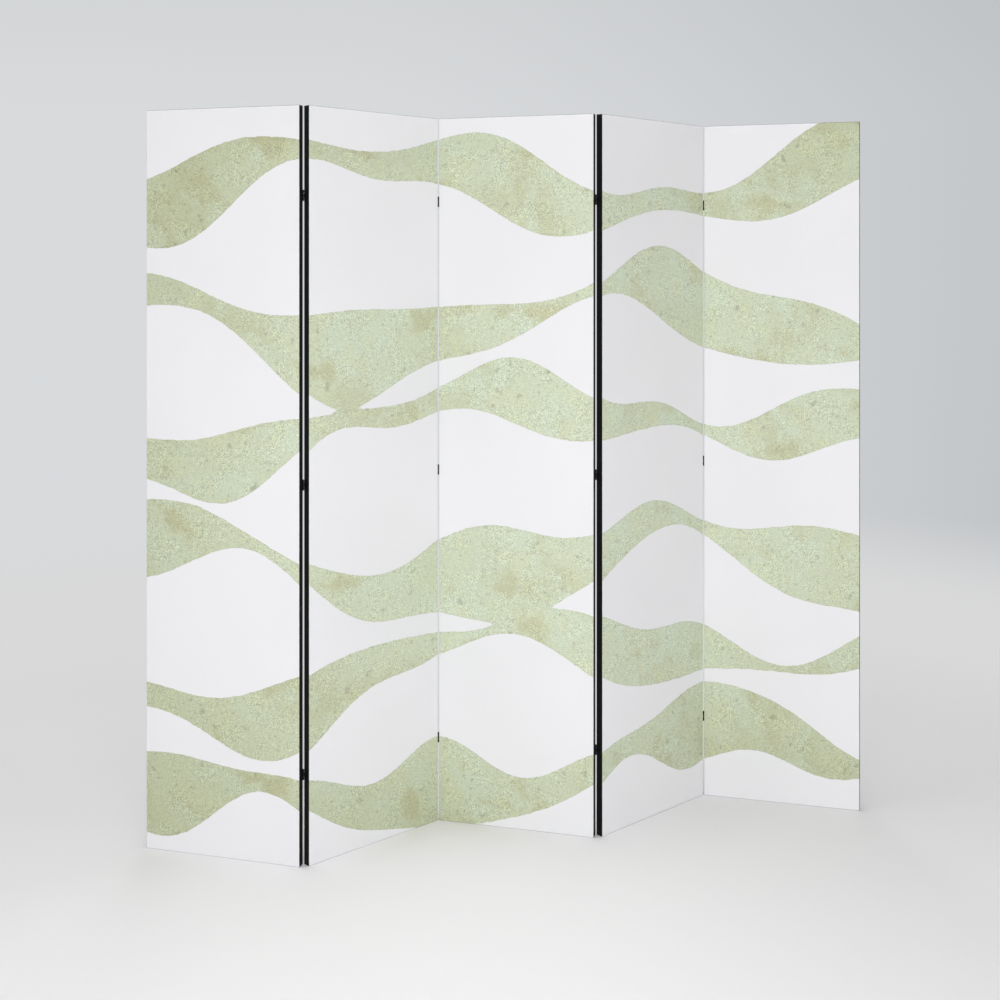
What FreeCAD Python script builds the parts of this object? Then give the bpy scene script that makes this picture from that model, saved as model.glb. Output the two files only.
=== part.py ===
import FreeCAD, Part
import math
import os
import Sketcher

# A five-panel folding screen, in millimetres.
# The row of panels runs along X, their printed fronts face -Y, and the floor is Z = 0.
# The origin is on the floor, under the middle of the middle panel.
# In a panel's own frame x runs from its left edge to its right edge, y from its front face
# to its back face, and z from the floor up.
# In a hinge's own frame the pin axis is z, and the side face of the panel that the leaf is
# screwed to lies towards +x, reaching away from the pin towards +y.

SIZES = [
    ("panel_width", 400.0, "one panel across, over the canvas"),
    ("panel_height", 1775.0, "one panel from the floor up, over the canvas"),
    ("rest_turn", 60.0, "degrees that each fold is turned from flat, as it stands"),
    ("front_canvas", 0.4, "thickness of the printed canvas"),
    ("back_canvas", 0.4, "thickness of the plain canvas on the back"),
    ("frame_depth", 17.0, "depth of the battens, front to back"),
    ("batten_width", 30.0, "width of the stiles and of the top and bottom rails"),
    ("middle_rail_width", 34.0, "width of the middle rail"),
    ("middle_rail_setback", 4.0, "the middle rail stays this far behind the frame's front"),
    ("ease", 0.8, "planed off the outer corners of the frame"),
    ("turn_in", 20.0, "how far the front canvas is turned in over the back"),
    ("back_margin", 4.0, "from a panel's edge to the edge of its back canvas"),
    ("hinge_inset", 210.0, "from a panel's end to the middle of its nearest hinge"),
    ("hinge_length", 26.0, "height of one hinge"),
    ("barrel_radius", 1.5, "outside of the knuckles, and from pin axis to side face"),
    ("axis_proud", 0.5, "how far the pin axis stands outside the face of the panels"),
    ("leaf_thickness", 0.8, "hinge plate"),
    ("leaf_reach", 14.5, "from the pin axis to the far edge of a leaf"),
    ("leaf_corner", 1.5, "rounding of a leaf's two free corners"),
    ("knuckle_gap", 0.2, "between neighbouring knuckles, along the pin"),
    ("barrel_room", 0.3, "between a barrel and the facing leaf's plate"),
    ("pin_radius", 0.7, "hinge pin"),
    ("pin_clearance", 0.05, "running clearance round the pin"),
    ("pin_proud", 0.4, "how far the pin stands out of the barrel at each end"),
    ("pin_ease", 0.25, "chamfer on the ends of the pin"),
    ("screw_line", 8.3, "from the pin axis to the line of the screws"),
    ("screw_spacing", 15.0, "between the two screws of a leaf"),
    ("screw_radius", 1.1, "shank of a screw"),
    ("screw_head", 2.0, "radius of the countersunk head"),
    ("screw_length", 11.0, "whole length of a screw"),
    ("screw_point", 3.0, "length of its point"),
    ("screw_clearance", 0.05, "between a screw and its hole"),
    ("recess_span", 2.2, "length of each slot of the cross recess"),
    ("recess_slot", 0.5, "width of each slot"),
    ("recess_depth", 0.6, "depth of the cross recess"),
    ("crown", 10.6, "length of a staple's crown"),
    ("wire_thickness", 0.6, "staple wire, across its flat"),
    ("wire_width", 1.2, "staple wire, along its flat"),
    ("leg", 7.0, "height of a staple, crown included"),
    ("staple_sink", 0.3, "how deep a crown is pressed into the canvas"),
    ("staple_inset", 14.0, "from a panel's edge to the line of its staples"),
    ("stile_staple_start", 47.5, "from a panel's end to the first staple in a stile"),
    ("rail_staple_start", 90.0, "from a panel's side to the first staple in a rail"),
    ("overrun", 1.0, "how far a cutting shape runs past what it cuts"),
]

PANELS = 5
HINGES_PER_FOLD = 3
KNUCKLES = 3
SCREWS_PER_LEAF = 2
STILE_STAPLES = 15
RAIL_STAPLES = 3
SIDES = 2

# Places that several pieces share, worked out from the sheet.
PANEL_DEPTH = "(Sizes.frame_depth + 2 * Sizes.front_canvas + Sizes.back_canvas)"
FRAME_BACK = "(Sizes.front_canvas + Sizes.frame_depth)"
OUTER_LOW = "Sizes.front_canvas"
OUTER_RIGHT = "(Sizes.panel_width - Sizes.front_canvas)"
OUTER_TOP = "(Sizes.panel_height - Sizes.front_canvas)"
INNER_LOW = "(Sizes.front_canvas + Sizes.batten_width)"
INNER_RIGHT = "(Sizes.panel_width - Sizes.front_canvas - Sizes.batten_width)"
INNER_TOP = "(Sizes.panel_height - Sizes.front_canvas - Sizes.batten_width)"
MITRE_MIDDLE = "(Sizes.front_canvas + Sizes.batten_width / 2)"
MIDDLE_HEIGHT = "(Sizes.panel_height / 2)"
HINGE_PITCH = "(Sizes.panel_height / 2 - Sizes.hinge_inset)"
HINGE_FOOT = "(Sizes.hinge_inset - Sizes.hinge_length / 2)"
KNUCKLE_SHARE = f"(Sizes.hinge_length / {KNUCKLES})"
KNUCKLE = f"({KNUCKLE_SHARE} - Sizes.knuckle_gap / 2)"
LEAF_INSIDE = "(Sizes.barrel_radius - Sizes.leaf_thickness)"
LEAF_START = "(Sizes.barrel_radius + Sizes.barrel_room)"
HEAD_DEPTH = "(Sizes.screw_head - Sizes.screw_radius)"

doc = FreeCAD.newDocument("FoldingScreen")
sheet = doc.addObject("Spreadsheet::Sheet", "Sizes")
for row, (alias, number, note) in enumerate(SIZES, start=1):
    sheet.set(f"A{row}", alias)
    sheet.set(f"B{row}", repr(number))
    sheet.setAlias(f"B{row}", alias)
    sheet.set(f"C{row}", note)
doc.recompute()

SAME_PLACE = 1e-6
nodes = []


def value_of(expression):
    return float(sheet.evalExpression(expression))


def bind(thing, expressions):
    """Tie properties of an object to cells of the sheet."""
    for path, expression in expressions.items():
        thing.setExpression(path, expression)


def place(thing, x="0", y="0", z="0"):
    """Tie the three coordinates of an object's place to the sheet."""
    bind(thing, {f"Placement.Base.{axis}": at for axis, at in zip("xyz", (x, y, z))})


def origin_feature(body, role):
    return next(f for f in body.Origin.OriginFeatures if f.Role == role)


def new_sketch(body, name, role, offset="0"):
    """A sketch on one of the body's own planes, or at an offset from it."""
    sketch = body.newObject("Sketcher::SketchObject", name)
    sketch.AttachmentSupport = [(origin_feature(body, role), "")]
    sketch.MapMode = "FlatFace"
    bind(sketch, {"AttachmentOffset.Base.z": offset})
    return sketch


def outline(body, name, role, corners, offset="0"):
    """A closed outline of straight lines, with each corner held by two expressions."""
    sketch = new_sketch(body, name, role, offset)
    points = [FreeCAD.Vector(value_of(a), value_of(b), 0) for a, b in corners]
    following = points[1:] + points[:1]
    for start, end in zip(points, following):
        sketch.addGeometry(Part.LineSegment(start, end), False)
    for i, (point, corner) in enumerate(zip(points, corners)):
        after = (i + 1) % len(points)
        sketch.addConstraint(Sketcher.Constraint("Coincident", i, 2, after, 1))
        for kind, letter, at, expression in zip(
            ("DistanceX", "DistanceY"), "ab", (point.x, point.y), corner
        ):
            held = sketch.addConstraint(Sketcher.Constraint(kind, -1, 1, i, 1, at))
            sketch.renameConstraint(held, f"{letter}{i}")
            sketch.setExpression(f"Constraints.{letter}{i}", expression)
    return sketch


def rectangle(body, name, role, low, high, offset="0"):
    (a0, b0), (a1, b1) = low, high
    corners = [(a0, b0), (a1, b0), (a1, b1), (a0, b1)]
    return outline(body, name, role, corners, offset)


def circle(body, name, radius, offset="0"):
    """A circle about the body's own z axis."""
    sketch = new_sketch(body, name, "XY_Plane", offset)
    start = value_of(radius)
    sketch.addGeometry(Part.Circle(FreeCAD.Vector(), FreeCAD.Vector(0, 0, 1), start), False)
    sketch.addConstraint(Sketcher.Constraint("Coincident", 0, 3, -1, 1))
    held = sketch.addConstraint(Sketcher.Constraint("Radius", 0, start))
    sketch.renameConstraint(held, "radius")
    sketch.setExpression("Constraints.radius", radius)
    return sketch


def pad(body, sketch, length, against=False):
    """Thicken a sketch along its normal, or against it."""
    feature = body.newObject("PartDesign::Pad", sketch.Name + "_pad")
    feature.Profile = sketch
    feature.Reversed = against
    bind(feature, {"Length": length})
    doc.recompute()
    return feature


def pocket(body, sketch, length):
    """Cut from a sketch along its normal."""
    before = body.Shape.Volume
    feature = body.newObject("PartDesign::Pocket", sketch.Name + "_pocket")
    feature.Profile = sketch
    feature.Reversed = True
    bind(feature, {"Length": length})
    doc.recompute()
    if feature.Shape.Volume >= before:
        raise RuntimeError(f"{sketch.Name} cuts nothing")
    return feature


def turned(body, sketch):
    """A solid of revolution about the body's own x axis."""
    feature = body.newObject("PartDesign::Revolution", sketch.Name + "_turned")
    feature.Profile = sketch
    feature.ReferenceAxis = (origin_feature(body, "X_Axis"), [""])
    feature.Angle = 360
    doc.recompute()
    return feature


def repeat(body, steps, mode="Features"):
    """Copies of the last feature, row upon row; a step is (axis, how many, spacing)."""
    feature = body.Tip
    pattern = body.newObject("PartDesign::MultiTransform", feature.Name + "_pattern")
    pattern.Originals = [feature]
    pattern.TransformMode = mode
    rows = []
    for axis, count, spacing in steps:
        row = body.newObject("PartDesign::LinearPattern", feature.Name + "_row")
        row.Direction = (origin_feature(body, axis), [""])
        row.Mode = "Spacing"
        row.Occurrences = count
        bind(row, {"Offset": spacing})
        rows.append(row)
    pattern.Transformations = rows
    body.Tip = pattern
    doc.recompute()
    if len(body.Shape.Solids) < math.prod(count for axis, count, spacing in steps):
        raise RuntimeError(f"{body.Name} lacks copies")


def named(kind, elements, points_of, wanted):
    """Names of the edges or faces whose every corner has the wanted coordinates."""
    return [
        f"{kind}{i}"
        for i, element in enumerate(elements, start=1)
        if all(
            abs(getattr(vertex.Point, axis) - at) < SAME_PLACE
            for vertex in points_of(element)
            for axis, at in wanted.items()
        )
    ]


def edges_at(shape, **wanted):
    return named("Edge", shape.Edges, lambda edge: edge.Vertexes, wanted)


def faces_at(shape, **wanted):
    return named("Face", shape.Faces, lambda face: face.Vertexes, wanted)


def dress(body, kind, base, picked, length):
    """A chamfer or fillet on the picked edges or faces of the feature before it."""
    if not picked:
        raise RuntimeError(f"{body.Name} has nothing to {kind}")
    feature = body.newObject("PartDesign::" + kind, f"{body.Name}_{kind}")
    feature.Base = (base, picked)
    bind(feature, {"Radius" if kind == "Fillet" else "Size": length})
    doc.recompute()
    return feature


def cut(name, base, tool):
    result = doc.addObject("Part::Cut", name)
    result.Base = base
    result.Tool = tool
    return result


def group(name, *members):
    result = doc.addObject("Part::Compound", name)
    result.Links = list(members)
    return result


def keep(thing, label, placement):
    """Make an object a sub-part of the screen, where the placement puts it."""
    thing.Label = label
    thing.Placement = placement
    nodes.append(thing)


# Timber of one panel, in the panel's frame.


def mitred_batten(name, corners, outside):
    """A frame batten; outside gives the coordinate of the edge that faces outwards."""
    body = doc.addObject("PartDesign::Body", name)
    blank = pad(body, outline(body, name + "_face", "XZ_Plane", corners), "Sizes.frame_depth", True)
    depth = value_of("Sizes.frame_depth")
    outer = edges_at(blank.Shape, y=0, **outside) + edges_at(blank.Shape, y=depth, **outside)
    dress(body, "Chamfer", blank, outer, "Sizes.ease")
    place(body, y="Sizes.front_canvas")
    return body


def middle_rail():
    body = doc.addObject("PartDesign::Body", "MiddleRail")
    low = f"{MIDDLE_HEIGHT} - Sizes.middle_rail_width / 2"
    high = f"{MIDDLE_HEIGHT} + Sizes.middle_rail_width / 2"
    face = rectangle(body, "MiddleRail_face", "XZ_Plane", (INNER_LOW, low), (INNER_RIGHT, high))
    pad(body, face, "Sizes.frame_depth - Sizes.middle_rail_setback", True)
    place(body, y="Sizes.front_canvas + Sizes.middle_rail_setback")
    return body


def timber():
    outer = {
        "near": (OUTER_LOW, OUTER_LOW),
        "far": (OUTER_RIGHT, OUTER_LOW),
        "far_top": (OUTER_RIGHT, OUTER_TOP),
        "near_top": (OUTER_LOW, OUTER_TOP),
    }
    inner = {
        "near": (INNER_LOW, INNER_LOW),
        "far": (INNER_RIGHT, INNER_LOW),
        "far_top": (INNER_RIGHT, INNER_TOP),
        "near_top": (INNER_LOW, INNER_TOP),
    }
    ends = {
        "left_stile": ("near", "near_top", {"x": value_of(OUTER_LOW)}),
        "right_stile": ("far", "far_top", {"x": value_of(OUTER_RIGHT)}),
        "bottom_rail": ("near", "far", {"z": value_of(OUTER_LOW)}),
        "top_rail": ("near_top", "far_top", {"z": value_of(OUTER_TOP)}),
    }
    battens = {"middle_rail": middle_rail()}
    for name, (first, second, outside) in ends.items():
        corners = [outer[first], inner[first], inner[second], outer[second]]
        title = name.title().replace("_", "")
        battens[name] = mitred_batten(title, corners, outside)
    return battens


# Canvas of one panel, in the panel's frame.


def eased_block(name, low, high, ease):
    """A block with the outlines of its front and back faces planed off."""
    body = doc.addObject("PartDesign::Body", name)
    (x0, y0, z0), (x1, y1, z1) = low, high
    depth = f"{y1} - {y0}"
    face = rectangle(body, name + "_face", "XZ_Plane", (x0, z0), (x1, z1))
    blank = pad(body, face, depth, True)
    broad = faces_at(blank.Shape, y=0) + faces_at(blank.Shape, y=value_of(depth))
    dress(body, "Chamfer", blank, broad, ease)
    place(body, y=y0)
    return body


def box(name, low, high):
    block = doc.addObject("Part::Box", name)
    for dimension, start, end in zip(("Length", "Width", "Height"), low, high):
        bind(block, {dimension: f"{end} - {start}"})
    place(block, *low)
    return block


def front_canvas_sleeve():
    """One even thickness of cloth round the frame and the back canvas, open at the back."""
    outside = eased_block(
        "CanvasOutside",
        ("0", "0", "0"),
        ("Sizes.panel_width", PANEL_DEPTH, "Sizes.panel_height"),
        "Sizes.ease + Sizes.front_canvas * (2 - sqrt(2))",
    )
    inside = eased_block(
        "CanvasInside",
        (OUTER_LOW, "Sizes.front_canvas", OUTER_LOW),
        (OUTER_RIGHT, f"({FRAME_BACK} + Sizes.back_canvas)", OUTER_TOP),
        "Sizes.ease",
    )
    opening = box(
        "CanvasOpening",
        ("Sizes.turn_in", f"({FRAME_BACK} - Sizes.overrun)", "Sizes.turn_in"),
        (
            "(Sizes.panel_width - Sizes.turn_in)",
            f"({PANEL_DEPTH} + Sizes.overrun)",
            "(Sizes.panel_height - Sizes.turn_in)",
        ),
    )
    return cut("CanvasSleeve", cut("CanvasHollow", outside, inside), opening)


def back_canvas():
    return box(
        "BackCanvas",
        ("Sizes.back_margin", FRAME_BACK, "Sizes.back_margin"),
        (
            "(Sizes.panel_width - Sizes.back_margin)",
            f"({FRAME_BACK} + Sizes.back_canvas)",
            "(Sizes.panel_height - Sizes.back_margin)",
        ),
    )


# Staples of one panel, in the panel's frame.


def staple_outline(middle, crown_top):
    """Corners of a staple seen from the side: along its crown, then into the panel."""
    low = f"({middle} - Sizes.crown / 2)"
    high = f"({middle} + Sizes.crown / 2)"
    tip = f"({crown_top} - Sizes.leg)"
    under = f"({crown_top} - Sizes.wire_thickness)"
    low_inside = f"({low} + Sizes.wire_thickness)"
    high_inside = f"({high} - Sizes.wire_thickness)"
    return [
        (low, tip),
        (low, crown_top),
        (high, crown_top),
        (high, tip),
        (high_inside, tip),
        (high_inside, under),
        (low_inside, under),
        (low_inside, tip),
    ]


def staples():
    body = doc.addObject("PartDesign::Body", "Staples")
    on_canvas = f"({PANEL_DEPTH} + Sizes.wire_thickness - Sizes.staple_sink)"
    half_wire = "Sizes.wire_width / 2"
    inset_start = f"Sizes.staple_inset - {half_wire}"
    across_inset = "Sizes.panel_width - 2 * Sizes.staple_inset"
    up_inset = "Sizes.panel_height - 2 * Sizes.staple_inset"

    corners = [(b, a) for a, b in staple_outline("Sizes.stile_staple_start", on_canvas)]
    wire = outline(body, "StileStaple", "YZ_Plane", corners, inset_start)
    spacing = f"(Sizes.panel_height - 2 * Sizes.stile_staple_start) / {STILE_STAPLES - 1}"
    pad(body, wire, "Sizes.wire_width")
    repeat(body, [("Z_Axis", STILE_STAPLES, spacing), ("X_Axis", SIDES, across_inset)])

    corners = staple_outline("Sizes.rail_staple_start", on_canvas)
    wire = outline(body, "RailStaple", "XY_Plane", corners, inset_start)
    spacing = f"(Sizes.panel_width - 2 * Sizes.rail_staple_start) / {RAIL_STAPLES - 1}"
    pad(body, wire, "Sizes.wire_width")
    repeat(body, [("X_Axis", RAIL_STAPLES, spacing), ("Z_Axis", SIDES, up_inset)])

    corners = staple_outline(MITRE_MIDDLE, FRAME_BACK)
    wire = outline(body, "MitreStaple", "XY_Plane", corners, f"{MITRE_MIDDLE} - {half_wire}")
    across = f"Sizes.panel_width - 2 * {MITRE_MIDDLE}"
    up = f"Sizes.panel_height - 2 * {MITRE_MIDDLE}"
    pad(body, wire, "Sizes.wire_width")
    repeat(body, [("X_Axis", SIDES, across), ("Z_Axis", SIDES, up)])

    corners = staple_outline(INNER_LOW, FRAME_BACK)
    wire = outline(body, "RailEndStaple", "XY_Plane", corners, f"{MIDDLE_HEIGHT} - {half_wire}")
    across = f"{INNER_RIGHT} - {INNER_LOW}"
    pad(body, wire, "Sizes.wire_width")
    repeat(body, [("X_Axis", SIDES, across)])
    return body


# Hinges of one fold, in a hinge's frame, with z from the floor up.


def all_hinges():
    return ("Z_Axis", HINGES_PER_FOLD, HINGE_PITCH)


def leaf(name, knuckles):
    """Three plates with their knuckles; a knuckle is (where it starts, how long it is)."""
    body = doc.addObject("PartDesign::Body", name)
    low = (LEAF_INSIDE, LEAF_START)
    high = ("Sizes.barrel_radius", "Sizes.leaf_reach")
    plate = pad(body, rectangle(body, name + "_plate", "XY_Plane", low, high), "Sizes.hinge_length")
    far = value_of("Sizes.leaf_reach")
    corners = edges_at(plate.Shape, y=far, z=0)
    corners += edges_at(plate.Shape, y=far, z=value_of("Sizes.hinge_length"))
    dress(body, "Fillet", plate, corners, "Sizes.leaf_corner")
    for i, (start, length) in enumerate(knuckles):
        barrel = circle(body, f"{name}_barrel{i}", "Sizes.barrel_radius", start)
        pad(body, barrel, length)
        web_low = (LEAF_INSIDE, "0")
        web_high = ("Sizes.barrel_radius", LEAF_START)
        web = rectangle(body, f"{name}_web{i}", "XY_Plane", web_low, web_high, start)
        pad(body, web, length)
    bore = circle(body, name + "_bore", "Sizes.pin_radius + Sizes.pin_clearance", "-Sizes.overrun")
    pocket(body, bore, "Sizes.hinge_length + 2 * Sizes.overrun")
    repeat(body, [all_hinges()], "Whole shape")
    place(body, z=HINGE_FOOT)
    return body


def pins():
    body = doc.addObject("PartDesign::Body", "Pins")
    section = circle(body, "Pin", "Sizes.pin_radius")
    rod = pad(body, section, "Sizes.hinge_length + 2 * Sizes.pin_proud")
    ends = faces_at(rod.Shape, z=0)
    ends += faces_at(rod.Shape, z=value_of("Sizes.hinge_length + 2 * Sizes.pin_proud"))
    dress(body, "Chamfer", rod, ends, "Sizes.pin_ease")
    repeat(body, [all_hinges()], "Whole shape")
    place(body, z=f"{HINGE_FOOT} - Sizes.pin_proud")
    return body


def screw_row(body):
    """Repeat one screw for every hinge of a fold, and put the row where the leaves are."""
    pair = ("Z_Axis", SCREWS_PER_LEAF, "Sizes.screw_spacing")
    repeat(body, [pair, all_hinges()], "Whole shape")
    place(body, LEAF_INSIDE, "Sizes.screw_line", "Sizes.hinge_inset - Sizes.screw_spacing / 2")


def screws():
    """Countersunk screws with a cross recess, their heads level with the leaf."""
    body = doc.addObject("PartDesign::Body", "Screws")
    corners = [
        ("0", "0"),
        ("0", "Sizes.screw_head"),
        (HEAD_DEPTH, "Sizes.screw_radius"),
        ("Sizes.screw_length - Sizes.screw_point", "Sizes.screw_radius"),
        ("Sizes.screw_length", "0"),
    ]
    turned(body, outline(body, "Screw", "XY_Plane", corners))
    end, side = "Sizes.recess_span / 2", "Sizes.recess_slot / 2"
    quarter = [(end, side), (side, side), (side, end)]
    signs = [("", ""), ("-", ""), ("-", "-"), ("", "-")]
    corners = []
    for turn, (first, second) in enumerate(signs):
        part = [(f"{first}{a}", f"{second}{b}") for a, b in quarter]
        corners += part if turn % 2 == 0 else part[::-1]
    pocket(body, outline(body, "Recess", "YZ_Plane", corners), "Sizes.recess_depth")
    screw_row(body)
    return body


def screw_holes():
    """The same screws grown by their clearance, to cut leaves, canvas and stiles with."""
    body = doc.addObject("PartDesign::Body", "ScrewHoles")
    head = "Sizes.screw_head + Sizes.screw_clearance"
    shank = "Sizes.screw_radius + Sizes.screw_clearance"
    end = "Sizes.screw_length + Sizes.screw_clearance"
    corners = [
        ("-Sizes.overrun", "0"),
        ("-Sizes.overrun", head),
        ("0", head),
        (HEAD_DEPTH, shank),
        (end, shank),
        (end, "0"),
    ]
    turned(body, outline(body, "ScrewHole", "XY_Plane", corners))
    screw_row(body)
    return body


# Where the panels and hinges stand.

UP = FreeCAD.Vector(0, 0, 1)
ACROSS = FreeCAD.Vector(1, 0, 0)
INWARD = FreeCAD.Vector(0, 1, 0)


def heading(panel):
    """Odd panels come forward as they go right, even ones go back."""
    half = value_of("Sizes.rest_turn") / 2
    return FreeCAD.Rotation(UP, -half if panel % 2 else half)


def hinge_face(fold):
    """A fold that points at the viewer is hinged at the back, the next one at the front."""
    return "back" if fold % 2 else "front"


def pin_depth(fold):
    proud = value_of("Sizes.axis_proud")
    return value_of(PANEL_DEPTH) + proud if hinge_face(fold) == "back" else -proud


def pin_at(fold, side):
    """The pin axis of a fold, in the frame of the panel at its left or right."""
    beyond = value_of("Sizes.barrel_radius")
    x = value_of("Sizes.panel_width") + beyond if side == "left" else -beyond
    return FreeCAD.Vector(x, pin_depth(fold), 0)


def facing(fold, side):
    """Turns the hinge's own frame towards the panel at the left or right of a fold."""
    top = UP * value_of("Sizes.panel_height")
    turns = {
        ("right", "front"): FreeCAD.Placement(),
        ("left", "front"): FreeCAD.Placement(top, FreeCAD.Rotation(INWARD, 180)),
        ("right", "back"): FreeCAD.Placement(top, FreeCAD.Rotation(ACROSS, 180)),
        ("left", "back"): FreeCAD.Placement(FreeCAD.Vector(), FreeCAD.Rotation(UP, 180)),
    }
    return turns[side, hinge_face(fold)]


def panel_places():
    """The middle panel stands over the origin, and each pin joins the next panel on."""
    middle = (PANELS + 1) // 2
    centre = FreeCAD.Vector(value_of("Sizes.panel_width"), value_of(PANEL_DEPTH), 0) / 2
    places = {middle: FreeCAD.Placement(-heading(middle).multVec(centre), heading(middle))}
    for panel in range(middle + 1, PANELS + 1):
        pin = places[panel - 1].multVec(pin_at(panel - 1, "left"))
        base = pin - heading(panel).multVec(pin_at(panel - 1, "right"))
        places[panel] = FreeCAD.Placement(base, heading(panel))
    for panel in range(middle - 1, 0, -1):
        pin = places[panel + 1].multVec(pin_at(panel, "right"))
        base = pin - heading(panel).multVec(pin_at(panel, "left"))
        places[panel] = FreeCAD.Placement(base, heading(panel))
    return places


def drill(panel, fold, side, holes):
    """The screw holes of one fold, where they enter the panel at its left or right."""
    drilled = group(f"Drill{panel}{side}", holes)
    pin = FreeCAD.Placement(pin_at(fold, side), FreeCAD.Rotation())
    drilled.Placement = pin * facing(fold, side)
    return drilled


def build_panels(places, holes):
    wires = staples()
    pieces = timber()
    pieces["front_canvas"] = front_canvas_sleeve()
    pieces["back_canvas"] = back_canvas()
    stapled = {name: cut("Stapled_" + name, piece, wires) for name, piece in pieces.items()}
    for panel, where in places.items():
        drills = {}
        if panel > 1:
            drills["left_stile"] = drill(panel, panel - 1, "right", holes)
        if panel < PANELS:
            drills["right_stile"] = drill(panel, panel, "left", holes)
        drills["front_canvas"] = group(f"Drills{panel}", *drills.values())
        for name, piece in stapled.items():
            title = f"Panel{panel}_{name}"
            node = cut(title, piece, drills[name]) if name in drills else group(title, piece)
            keep(node, f"panel_{panel}_{name}", where)
        keep(group(f"Panel{panel}_staples", wires), f"panel_{panel}_staples", where)


def build_folds(places, holes):
    upper = "Sizes.hinge_length - " + KNUCKLE
    middle = KNUCKLE_SHARE + " + Sizes.knuckle_gap / 2"
    middle_length = KNUCKLE_SHARE + " - Sizes.knuckle_gap"
    leaves = {
        "left": cut("DrilledOuterLeaf", leaf("OuterLeaf", [("0", KNUCKLE), (upper, KNUCKLE)]), holes),
        "right": cut("DrilledCentreLeaf", leaf("CentreLeaf", [(middle, middle_length)]), holes),
    }
    rods = pins()
    fixings = screws()
    for fold in range(1, PANELS):
        title = f"fold_{fold}_{fold + 1}"
        for side, panel in (("left", fold), ("right", fold + 1)):
            pin = places[panel].multVec(pin_at(fold, side))
            where = FreeCAD.Placement(pin, heading(panel)) * facing(fold, side)
            plates = group(f"Fold{fold}_{side}_leaves", leaves[side])
            keep(plates, f"{title}_{side}_leaves", where)
            keep(group(f"Fold{fold}_{side}_screws", fixings), f"{title}_{side}_screws", where)
        rod_place = FreeCAD.Placement(pin, heading(fold))
        keep(group(f"Fold{fold}_pins", rods), f"{title}_pins", rod_place)


def check_and_write():
    doc.recompute()
    for thing in doc.Objects:
        if {"Invalid", "Error"} & set(thing.State):
            raise RuntimeError(f"{thing.Label} failed: {thing.State}")
    os.makedirs("parts", exist_ok=True)
    for node in sorted(nodes, key=lambda n: n.Label):
        shape = node.Shape
        if shape.isNull() or not shape.isValid() or not shape.Solids:
            raise RuntimeError(f"{node.Label} has no valid shape")
        shape.exportStep(f"parts/{node.Label}.step")
        print(f"{node.Label}: {len(shape.Solids)} solids, {shape.Volume:.1f} mm3")


places = panel_places()
holes = screw_holes()
build_panels(places, holes)
build_folds(places, holes)
check_and_write()
for fold in range(1, PANELS):
    pin = places[fold].multVec(pin_at(fold, "left"))
    print(f"pin of fold {fold}: x {pin.x:.4f}, y {pin.y:.4f}")
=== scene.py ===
import math
import bmesh
import bpy
import numpy as np
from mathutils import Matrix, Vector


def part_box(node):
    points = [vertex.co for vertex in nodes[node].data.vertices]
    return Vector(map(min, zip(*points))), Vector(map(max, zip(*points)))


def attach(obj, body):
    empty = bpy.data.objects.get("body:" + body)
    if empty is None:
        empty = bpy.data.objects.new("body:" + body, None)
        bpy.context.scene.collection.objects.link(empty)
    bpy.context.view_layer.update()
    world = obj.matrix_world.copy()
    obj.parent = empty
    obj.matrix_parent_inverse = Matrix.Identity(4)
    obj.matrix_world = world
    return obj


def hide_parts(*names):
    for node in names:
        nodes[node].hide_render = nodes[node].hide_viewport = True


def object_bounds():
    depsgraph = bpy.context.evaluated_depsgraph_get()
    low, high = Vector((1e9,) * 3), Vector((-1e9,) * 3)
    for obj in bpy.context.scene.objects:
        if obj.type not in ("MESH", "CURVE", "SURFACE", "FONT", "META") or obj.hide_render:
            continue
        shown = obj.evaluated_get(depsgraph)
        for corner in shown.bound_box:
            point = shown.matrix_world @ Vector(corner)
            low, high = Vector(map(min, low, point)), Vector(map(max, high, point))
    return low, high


# A five-panel folding screen: printed canvas over pine frames, black hinges, on a pale floor.
# A panel's own frame has x from its left edge, y from its front face back, and z up.

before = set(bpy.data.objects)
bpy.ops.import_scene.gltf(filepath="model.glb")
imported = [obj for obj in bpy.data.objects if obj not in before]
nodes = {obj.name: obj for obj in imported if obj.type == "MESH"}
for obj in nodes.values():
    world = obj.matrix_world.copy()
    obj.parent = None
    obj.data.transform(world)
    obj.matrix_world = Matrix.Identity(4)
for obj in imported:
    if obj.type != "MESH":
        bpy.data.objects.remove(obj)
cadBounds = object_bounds()
print("frame loaded:", len(nodes), "nodes")

panels = {
    "count": 5,
    "width": 0.400,
    "depth": 0.0182,
    "height": cadBounds[1].z,
    "halfTurn": math.radians(30),  # odd panels come forward to the right, even ones go back
    "battenWidth": 0.0304,  # of the frame under the cloth
    "clothThickness": 0.0004,
}


def panelToRow(number, points):
    # turn about z by the panel's heading, then move to the middle of its CAD box
    low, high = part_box(f"panel_{number}_front_canvas")
    turn = -panels["halfTurn"] if number % 2 else panels["halfTurn"]
    c, s = math.cos(turn), math.sin(turn)
    x, y = points[:, 0] - panels["width"] / 2, points[:, 1] - panels["depth"] / 2
    middle = (low + high) / 2
    return np.stack([middle.x + c * x - s * y, middle.y + s * x + c * y, points[:, 2]], axis=1)


def smooth(t):
    # 3t squared minus 2t cubed, held between 0 and 1
    t = np.clip(t, 0, 1)
    return t * t * (3 - 2 * t)


# Meshes and node trees

def gridFaces(rows, columns, closed=False):
    # corner numbers of the quads of a rows by columns grid; closed joins the last column to the first
    last = columns if closed else columns - 1
    r, c = np.meshgrid(np.arange(rows - 1), np.arange(last), indexing="ij")
    after = (c + 1) % columns
    quads = [r * columns + c, r * columns + after, (r + 1) * columns + after, (r + 1) * columns + c]
    return np.stack(quads, axis=-1).reshape(-1, 4)


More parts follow.
